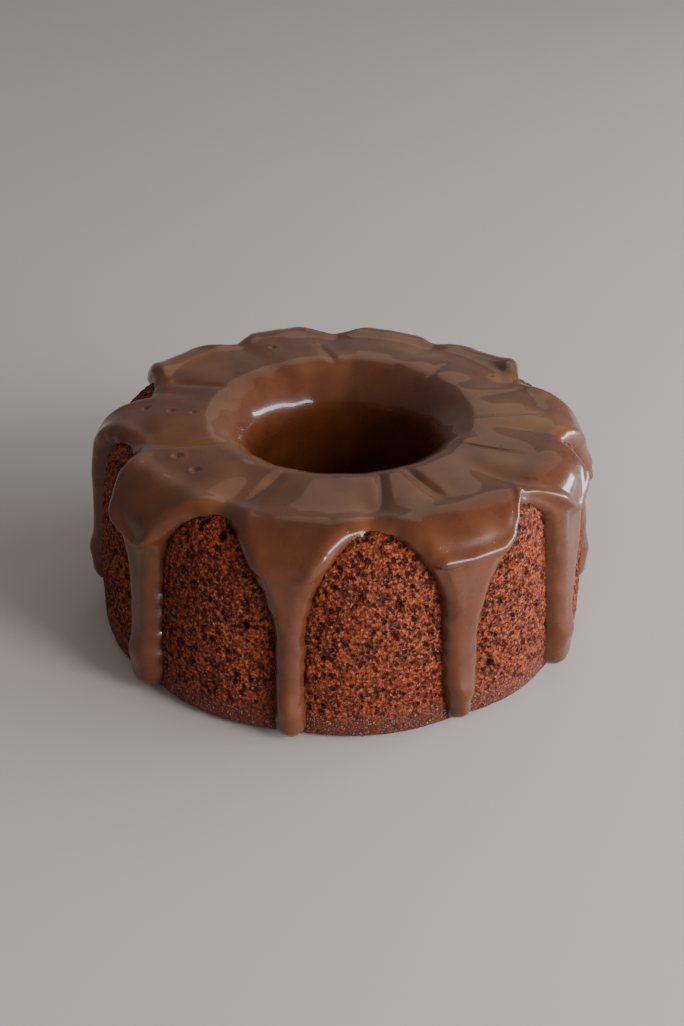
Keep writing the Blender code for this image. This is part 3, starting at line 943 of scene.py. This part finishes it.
class RINGCAKE_PG_icing(bpy.types.PropertyGroup):
    """Sizes and colours of the icing."""

    columns: IntProperty(name="Columns", description="Columns of faces round the ring",
                         default=600, min=60, max=1200)
    coat: FloatProperty(name="Coat", description="Thickness over the top",
                        default=3.4 * MM, unit='LENGTH')
    hole_coat: FloatProperty(name="Hole coat", description="Thickness down the hole",
                             default=2.6 * MM, unit='LENGTH')
    skirt: FloatProperty(name="Skirt", description="Extra thickness over the shoulder",
                         default=2.2 * MM, unit='LENGTH')
    lip_roll: FloatProperty(name="Rolled lip", description="Height of the lip along the edges",
                            default=0.8 * MM, unit='LENGTH')
    valley: FloatProperty(name="Valleys", description="Depth between the lobes on top",
                          default=2.1 * MM, unit='LENGTH')
    uneven: FloatProperty(name="Unevenness", description="Height of the slow waves",
                          default=0.16 * MM, unit='LENGTH')
    ragged: FloatProperty(name="Ragged edge", description="How far the edges wander",
                          default=0.35 * MM, unit='LENGTH')
    sink: FloatProperty(name="Sink", description="How far the icing reaches into the crumb",
                        default=1.7 * MM, unit='LENGTH')
    colour: FloatVectorProperty(name="Icing", description="Colour of the icing",
                                subtype='COLOR', default=(0.128, 0.039, 0.0150))
    deep: FloatVectorProperty(name="Deep icing", description="Colour of its darker areas",
                              subtype='COLOR', default=(0.098, 0.029, 0.0115))
    # Painted reflection: the warm patches over the top of the icing
    warm: FloatVectorProperty(name="Warm icing", description="Colour of its warmer areas",
                              subtype='COLOR', default=(0.178, 0.068, 0.0230))


class RINGCAKE_PG_grains(bpy.types.PropertyGroup):
    """Sizes of the loose grains of crumb."""

    density: FloatProperty(name="Density", description="Grains for every square metre",
                           default=95000.0)
    smallest: FloatProperty(name="Smallest", description="Radius of the smallest grains",
                            default=0.20 * MM, unit='LENGTH')
    largest: FloatProperty(name="Largest", description="Radius of the largest grains",
                           default=0.52 * MM, unit='LENGTH')
    seed: IntProperty(name="Seed", description="Which scatter is drawn", default=11)


class RINGCAKE_PG_stage(bpy.types.PropertyGroup):
    """Camera, floor and light."""

    camera: FloatVectorProperty(name="Camera", description="Where the camera stands",
                                subtype='XYZ', unit='LENGTH',
                                default=(0.4 * MM, -628.3 * MM, 417.4 * MM))
    pitch: FloatProperty(name="Pitch", description="How far the camera looks down",
                         subtype='ANGLE', default=math.radians(30.4))
    lens: FloatProperty(name="Lens", description="Focal length on 36 mm film in millimetres",
                        default=50.0)
    floor: FloatVectorProperty(name="Floor", description="Colour of the floor",
                               subtype='COLOR', default=(0.62, 0.58, 0.56))
    room: FloatVectorProperty(name="Room", description="Colour of the light from all round",
                              subtype='COLOR', default=(1.0, 0.93, 0.86))
    room_strength: FloatProperty(name="Room strength", description="Light from all round",
                                 default=0.26)
    window: FloatVectorProperty(name="Window", description="Colour of the window light",
                                subtype='COLOR', default=(0.78, 0.89, 1.0))
    window_power: FloatProperty(name="Window power", description="Watts of window light",
                                default=56.0)
    lamp: FloatVectorProperty(name="Lamp", description="Colour of the soft lamp",
                              subtype='COLOR', default=(1.0, 0.88, 0.78))
    lamp_power: FloatProperty(name="Lamp power", description="Watts of the soft lamp",
                              default=18.0)
    glint_power: FloatProperty(name="Glint power", description="Watts of the small low lamp",
                               default=2.6)
    sky: FloatVectorProperty(name="Sky", description="Colour of the pale light behind",
                             subtype='COLOR', default=(1.0, 0.82, 0.66))
    sky_power: FloatProperty(name="Sky power", description="Watts of the pale light behind",
                             default=8.8)


class RINGCAKE_OT_sponge(bpy.types.Operator):
    """Make the sponge ring with its open crumb."""

    bl_idname = "ringcake.sponge"
    bl_label = "Sponge"

    def execute(self, context):
        sponge = context.scene.ringcake_sponge
        reach = rows(hole=3, lip=4, crown=3, shoulder=22, wall=84, edge=4)
        piece, angle, far = ring("sponge_ring", reach, sponge.columns, sponge_relief)
        inside = cover(angle, far)
        height = section(far)[1]
        bare = 1.0 - ramp(inside, *CLOSED_UNDER)
        crust = 1.0 - ramp(height, *BASE_HEIGHTS)
        opened = bare * ramp(height, *CRUMB_HEIGHTS) * (1.0 - OPEN_LOST_AT_BASE * crust)
        opened = opened * ramp(far, *OUTSIDE_FROM)
        remember(piece, "open", opened)
        remember(piece, "crust", crust)
        # Painted shade beside the icing's edge, kept for the crumb's colour
        remember(piece, "iced", 1.0 - ramp(-inside, *SHADED_BESIDE))
        remember(piece, "loose", opened * ramp(-inside, *LOOSE_BESIDE))
        sizes = {"Pore Spacing": sponge.pore_spacing, "Pore Depth": sponge.pore_depth,
                 "Cave Spacing": sponge.cave_spacing, "Cave Depth": sponge.cave_depth,
                 "Grain Size": sponge.grain_size, "Grain Height": sponge.grain_height}
        apply_tree(piece, open_crumb(sizes), crumb_material("chocolate_crumb", sponge), sizes)
        settle(piece, "sponge", "cake")
        return {'FINISHED'}


class RINGCAKE_OT_grains(bpy.types.Operator):
    """Scatter loose grains of crumb over the bare sponge."""

    bl_idname = "ringcake.grains"
    bl_label = "Loose grains"

    def execute(self, context):
        grains = context.scene.ringcake_grains
        sponge = bpy.data.objects["sponge_ring"]
        piece = bpy.data.objects.new("loose_crumb_grains", sponge.data.copy())
        bpy.context.scene.collection.objects.link(piece)
        sizes = {"Density": grains.density, "Smallest": grains.smallest,
                 "Largest": grains.largest, "Seed": grains.seed}
        finish = crumb_material("grain_crumb", context.scene.ringcake_sponge)
        apply_tree(piece, scattered_grains(sizes), finish, sizes)
        settle(piece, "sponge")
        return {'FINISHED'}


class RINGCAKE_OT_icing(bpy.types.Operator):
    """Pour the icing over the sponge."""

    bl_idname = "ringcake.icing"
    bl_label = "Icing"

    def execute(self, context):
        icing = context.scene.ringcake_icing
        reach = rows(hole=14, lip=18, crown=34, shoulder=30, wall=68, edge=4)
        piece, _, _ = ring("poured_icing", reach, icing.columns,
                           lambda angle, far: icing_relief(angle, far, icing))
        inner = rows(hole=4, lip=8, crown=6, shoulder=10, wall=20, edge=3)
        hollow, _, _ = ring("hollow", inner, 200,
                            lambda angle, far: sponge_relief(angle, far) - icing.sink)
        for point in hollow.data.vertices:
            if point.co.z < 0.01 * MM:
                point.co.z = -MM
        cut = piece.modifiers.new("hollow", 'BOOLEAN')
        cut.operation = 'DIFFERENCE'
        cut.object = hollow
        cut.solver = 'MANIFOLD'
        flatten(piece)
        keep_largest(piece)
        bpy.data.objects.remove(hollow)
        piece.data.materials.clear()
        piece.data.materials.append(icing_material(icing))
        piece.data.shade_smooth()
        piece.data.set_sharp_from_angle(angle=math.radians(60.0))
        settle(piece, "icing", "icing")
        return {'FINISHED'}


def area_light(name, stand, colour, power, shines=True):
    """A soft rectangular light that faces the cake and may show in glossy surfaces."""
    place, size = stand
    light = bpy.data.lights.new(name, 'AREA')
    light.shape = 'RECTANGLE'
    light.size, light.size_y = size
    light.color = colour
    light.energy = power
    made = bpy.data.objects.new(name, light)
    made.location = place
    facing = Vector(LIT_POINT) - Vector(place)
    made.rotation_euler = facing.to_track_quat('-Z', 'Y').to_euler()
    made.visible_glossy = shines
    bpy.context.scene.collection.objects.link(made)


class RINGCAKE_OT_stage(bpy.types.Operator):
    """Set up the camera, the pale floor and the studio light."""

    bl_idname = "ringcake.stage"
    bl_label = "Stage"

    def execute(self, context):
        stage = context.scene.ringcake_stage
        camera = bpy.data.objects.new("camera", bpy.data.cameras.new("camera"))
        camera.data.lens = stage.lens
        camera.data.sensor_width = 36.0
        camera.data.clip_start = 0.01
        camera.location = stage.camera
        camera.rotation_euler = (math.pi / 2.0 - stage.pitch, 0.0, 0.0)
        context.scene.collection.objects.link(camera)
        context.scene.camera = camera

        mesh = bpy.data.meshes.new("floor")
        corners = ((-1, -1), (1, -1), (1, 1), (-1, 1))
        mesh.from_pydata([(FLOOR_HALF * x, FLOOR_HALF * y, 0.0) for x, y in corners],
                         [], [(0, 1, 2, 3)])
        floor = bpy.data.objects.new("floor", mesh)
        context.scene.collection.objects.link(floor)
        made, tree, shader, place = material("floor")
        cloud = tree.noise(place, 0.4, detail=3.0)
        tree.feed(shader.inputs["Base Color"],
                  tree.mix(cloud, opaque(stage.floor, 0.96), opaque(stage.floor, 1.04)))
        tree.feed(shader.inputs["Roughness"], 0.55 + cloud * 0.1)
        mesh.materials.append(made)

        world = bpy.data.worlds.new("room")
        world.use_nodes = True
        background = world.node_tree.nodes["Background"]
        background.inputs["Color"].default_value = opaque(stage.room)
        background.inputs["Strength"].default_value = stage.room_strength
        context.scene.world = world
        area_light("window", WINDOW_LIGHT, stage.window, stage.window_power)
        area_light("lamp", LAMP_LIGHT, stage.lamp, stage.lamp_power, shines=False)
        area_light("sky", SKY_LIGHT, stage.sky, stage.sky_power)
        area_light("glint", GLINT_LIGHT, stage.lamp, stage.glint_power)
        return {'FINISHED'}


class RINGCAKE_PT_cake(bpy.types.Panel):
    """Buttons that make the cake piece by piece."""

    bl_label = "Ring Cake"
    bl_idname = "RINGCAKE_PT_cake"
    bl_space_type = 'VIEW_3D'
    bl_region_type = 'UI'
    bl_category = "Ring Cake"

    def draw(self, context):
        for label, operator in STEPS:
            self.layout.operator(operator, text=label)
            settings = getattr(context.scene, operator.replace(".", "_"))
            for name in settings.__annotations__:
                self.layout.prop(settings, name)


STEPS = (("Sponge", "ringcake.sponge"), ("Loose grains", "ringcake.grains"),
         ("Icing", "ringcake.icing"), ("Stage", "ringcake.stage"))
GROUPS = (("ringcake_sponge", RINGCAKE_PG_sponge), ("ringcake_icing", RINGCAKE_PG_icing),
          ("ringcake_grains", RINGCAKE_PG_grains), ("ringcake_stage", RINGCAKE_PG_stage))
CLASSES = (*(group for _, group in GROUPS), RINGCAKE_OT_sponge, RINGCAKE_OT_grains,
           RINGCAKE_OT_icing, RINGCAKE_OT_stage, RINGCAKE_PT_cake)


def register():
    """Add the operators, the panel and the settings."""
    for item in CLASSES:
        bpy.utils.register_class(item)
    for name, group in GROUPS:
        setattr(bpy.types.Scene, name, PointerProperty(type=group))


def unregister():
    """Take the settings, the panel and the operators away."""
    for name, _ in GROUPS:
        delattr(bpy.types.Scene, name)
    for item in reversed(CLASSES):
        bpy.utils.unregister_class(item)


def main():
    """Make every piece in order."""
    register()
    bpy.ops.ringcake.sponge()
    bpy.ops.ringcake.grains()
    bpy.ops.ringcake.icing()
    bpy.ops.ringcake.stage()


if __name__ == "__main__":
    main()
